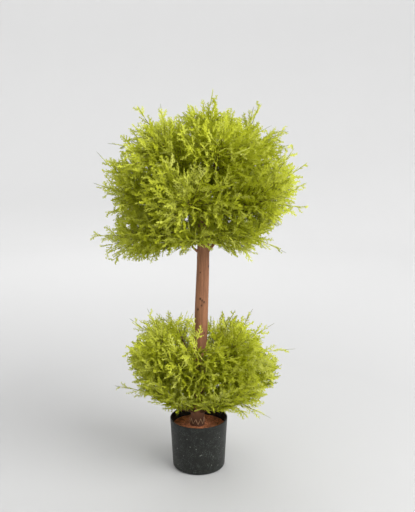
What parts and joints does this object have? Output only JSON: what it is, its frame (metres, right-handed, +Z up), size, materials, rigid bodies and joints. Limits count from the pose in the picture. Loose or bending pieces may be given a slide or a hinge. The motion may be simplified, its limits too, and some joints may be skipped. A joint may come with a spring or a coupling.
{
  "type": "two-tier artificial conifer topiary",
  "caption": "Potted artificial conifer topiary: two globes of feathery lime-green plumes, one above the other on a bare wooden trunk, in a plain black nursery pot.",
  "frame": {"origin": "centre of the pot's flat underside, on the surface that the pot stands on", "axes": "+Z up; the trunk leans a little towards +X; +Y points away from the side that the picture shows"},
  "size_m": [0.5051, 0.438, 0.8973],
  "materials": {
    "pot": "satin",
    "fill": "matte",
    "bark": "matte",
    "bough": "matte",
    "foliage": "matte"
  },
  "bodies": {
    "root": {"fill": "fill", "lower_high_1_bough": "bough", "lower_high_1_mass": "foliage", "lower_high_2_bough": "bough", "lower_high_2_mass": "foliage", "lower_high_3_bough": "bough", "lower_high_3_mass": "foliage", "lower_high_4_bough": "bough", "lower_high_4_mass": "foliage", "lower_high_5_bough": "bough", "lower_high_5_mass": "foliage", "lower_low_1_bough": "bough", "lower_low_1_mass": "foliage", "lower_low_2_bough": "bough", "lower_low_2_mass": "foliage", "lower_low_3_bough": "bough", "lower_low_3_mass": "foliage", "lower_low_4_bough": "bough", "lower_low_4_mass": "foliage", "lower_low_5_bough": "bough", "lower_low_5_mass": "foliage", "pot": "pot", "trunk": "bark", "upper_high_1_bough": "bough", "upper_high_1_mass": "foliage", "upper_high_2_bough": "bough", "upper_high_2_mass": "foliage", "upper_high_3_bough": "bough", "upper_high_3_mass": "foliage", "upper_high_4_bough": "bough", "upper_high_4_mass": "foliage", "upper_low_1_bough": "bough", "upper_low_1_mass": "foliage", "upper_low_2_bough": "bough", "upper_low_2_mass": "foliage", "upper_low_3_bough": "bough", "upper_low_3_mass": "foliage", "upper_low_4_bough": "bough", "upper_low_4_mass": "foliage", "upper_low_5_bough": "bough", "upper_low_5_mass": "foliage", "upper_low_6_bough": "bough", "upper_low_6_mass": "foliage", "upper_middle_1_bough": "bough", "upper_middle_1_mass": "foliage", "upper_middle_2_bough": "bough", "upper_middle_2_mass": "foliage", "upper_middle_3_bough": "bough", "upper_middle_3_mass": "foliage", "upper_middle_4_bough": "bough", "upper_middle_4_mass": "foliage", "upper_middle_5_bough": "bough", "upper_middle_5_mass": "foliage", "upper_top_mass": "foliage"}
  },
  "joints": []
}
